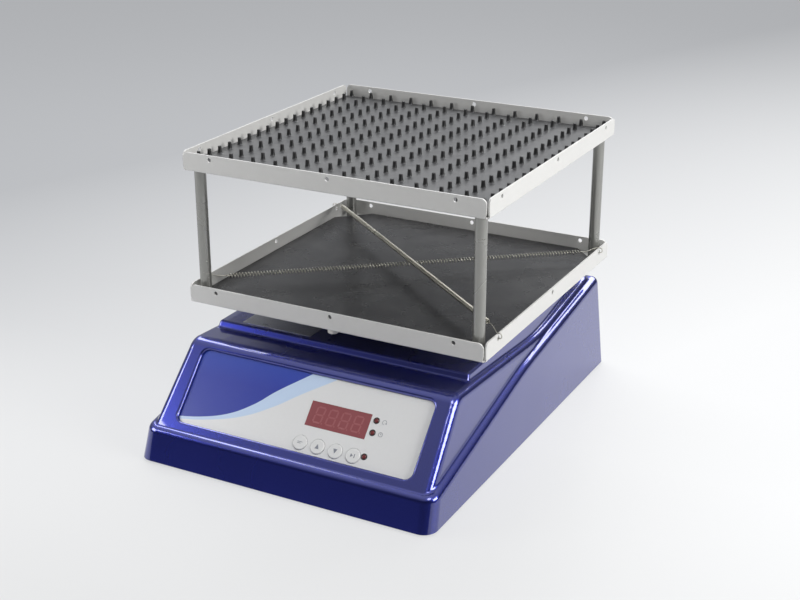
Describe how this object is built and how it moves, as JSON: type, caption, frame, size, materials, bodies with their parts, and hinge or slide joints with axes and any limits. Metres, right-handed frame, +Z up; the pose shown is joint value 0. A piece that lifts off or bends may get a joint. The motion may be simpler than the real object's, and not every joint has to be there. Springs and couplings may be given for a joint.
{
  "type": "reciprocating shaker",
  "caption": "Bench shaker with a sloped control panel and a two-tier platform that slides from side to side, with a pegged mat above and crossed springs below.",
  "frame": {"origin": "on the surface that the feet stand on, under the middle of the outline", "axes": "+X to the right seen from the front, the way the platform slides; +Y from the front with the panel to the rear; +Z up"},
  "size_m": [0.31, 0.403, 0.2657],
  "materials": {
    "housing_blue": "semi gloss moulded, deep metallic blue",
    "overlay_grey": "satin film, light grey with a blue field",
    "window_red": "smoked red window",
    "key_white": "satin off-white",
    "lamp_red": "clear red lens",
    "silver_plate": "brushed",
    "black_plastic": "fine grain",
    "board_green": "solder mask",
    "brass": "turned",
    "steel": "zinc plated",
    "polished_steel": "ground",
    "zinc_steel": "zinc plated sheet",
    "rubber_black": "semi gloss",
    "rubber_grey": "moulded with a fine bloom",
    "aluminium": "milled",
    "motor_black": "satin",
    "tray_paint": "light warm grey powder coat",
    "pad_white": "turned nylon",
    "spring_steel": "drawn wire",
    "black_panel": "satin black",
    "rocker_black": "gloss"
  },
  "bodies": {
    "base": {"housing": "housing_blue", "panel_overlay": "overlay_grey", "display_window": "window_red", "blank_plate": "silver_plate", "control_board": "board_green", "board_standoffs": "brass", "board_screws": "steel", "display_module": "black_plastic", "key_switches": "black_plastic", "indicator_lamps": "lamp_red", "base_plate": "zinc_steel", "feet": "rubber_black", "housing_screws": "steel", "frame_screws": "steel", "rod_supports": "aluminium", "guide_rods": "polished_steel", "bearing_housing": "aluminium", "crank_bearings": "polished_steel", "motor_bracket": "zinc_steel", "motor": "motor_black", "motor_screws": "steel", "drive_belt": "rubber_black", "slot_seals": "rubber_black", "rear_panel": "black_panel", "mains_inlet": "black_plastic", "rocker_body": "black_plastic", "fuse_holder": "black_plastic", "fuse_cap": "black_plastic", "panel_screws": "steel", "power_supply": "zinc_steel", "supply_terminals": "black_plastic"},
    "platform": {"carriage_plate": "aluminium", "bushing_blocks": "aluminium", "linear_bushings": "polished_steel", "carriage_screws": "steel", "platform_columns": "polished_steel", "wrist_pin": "polished_steel", "wrist_clip": "steel", "lower_tray": "tray_paint", "upper_tray": "tray_paint", "posts": "tray_paint", "platform_screws": "steel", "lower_mat": "rubber_black", "peg_mat": "rubber_grey", "front_pad": "pad_white", "spring_upper": "spring_steel", "spring_lower": "spring_steel"},
    "crank": {"crank_shaft": "polished_steel", "crank_pulley": "aluminium", "crank_disc": "steel", "crank_pin": "polished_steel"},
    "rotor": {"motor_shaft": "polished_steel", "motor_pulley": "aluminium"},
    "rod": {"connecting_rod": "aluminium"},
    "select_key": {"key_select": "key_white"},
    "up_key": {"key_up": "key_white"},
    "down_key": {"key_down": "key_white"},
    "start_key": {"key_start": "key_white"},
    "rocker": {"power_rocker": "rocker_black"}
  },
  "joints": [
    {"name": "platform_slide", "type": "slide", "parent": "base", "child": "platform", "axis": [1, 0, 0], "range_m": [-0.01, 0.01]},
    {"name": "crank_spin", "type": "hinge", "parent": "base", "child": "crank", "pos_m": [-0.04, 0.041, 0.05], "axis": [0, 0, 1], "continuous": true},
    {"name": "motor_spin", "type": "hinge", "parent": "base", "child": "rotor", "pos_m": [-0.04, -0.045, 0.05], "axis": [0, 0, 1], "continuous": true},
    {"name": "rod_swing", "type": "hinge", "parent": "platform", "child": "rod", "pos_m": [0.04, 0.041, 0.074], "axis": [0, 0, 1], "range_deg": [0, 14.33]},
    {"name": "select_press", "type": "slide", "parent": "base", "child": "select_key", "axis": [0, 0.7325, -0.6807], "range_m": [0, 0.0007], "stiffness_N_per_m": 900},
    {"name": "up_press", "type": "slide", "parent": "base", "child": "up_key", "axis": [0, 0.7325, -0.6807], "range_m": [0, 0.0007], "stiffness_N_per_m": 900},
    {"name": "down_press", "type": "slide", "parent": "base", "child": "down_key", "axis": [0, 0.7325, -0.6807], "range_m": [0, 0.0007], "stiffness_N_per_m": 900},
    {"name": "start_press", "type": "slide", "parent": "base", "child": "start_key", "axis": [0, 0.7325, -0.6807], "range_m": [0, 0.0007], "stiffness_N_per_m": 900},
    {"name": "rocker_tip", "type": "hinge", "parent": "base", "child": "rocker", "pos_m": [-0.038, 0.19489, 0.04579], "axis": [1, 0, 0], "range_deg": [0, 18]}
  ],
  "couplings": [
    {"joint": "motor_spin", "follows": "crank_spin", "ratio": 4}
  ]
}
